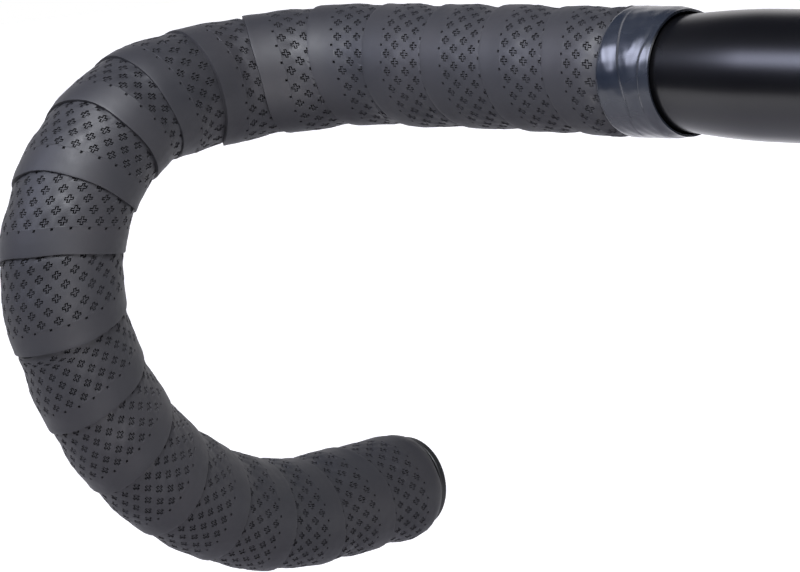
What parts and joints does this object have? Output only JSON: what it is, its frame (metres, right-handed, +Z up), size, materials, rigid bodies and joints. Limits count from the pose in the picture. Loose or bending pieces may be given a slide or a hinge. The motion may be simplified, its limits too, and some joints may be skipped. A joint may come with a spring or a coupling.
{
  "type": "taped drop handlebar",
  "caption": "Road drop handlebar with a wide clamp zone, lapped padded tape on both sides, finishing tape and end plugs.",
  "frame": {"origin": "middle of the bar, on its centreline, where the stem clamps it", "axes": "+X towards the rider's left along the clamp zone, -Y forward, +Z up"},
  "size_m": [0.4768, 0.1525, 0.1597],
  "materials": {
    "black_aluminium": "gloss black anodised",
    "foam_tape": "matte foam with small crosses",
    "vinyl_tape": "gloss stretched vinyl",
    "plug_plastic": "moulded satin"
  },
  "bodies": {
    "root": {"handlebar_tube": "black_aluminium", "right_bar_tape": "foam_tape", "left_bar_tape": "foam_tape", "right_finishing_tape": "vinyl_tape", "left_finishing_tape": "vinyl_tape", "right_end_plug": "plug_plastic", "left_end_plug": "plug_plastic"}
  },
  "joints": []
}
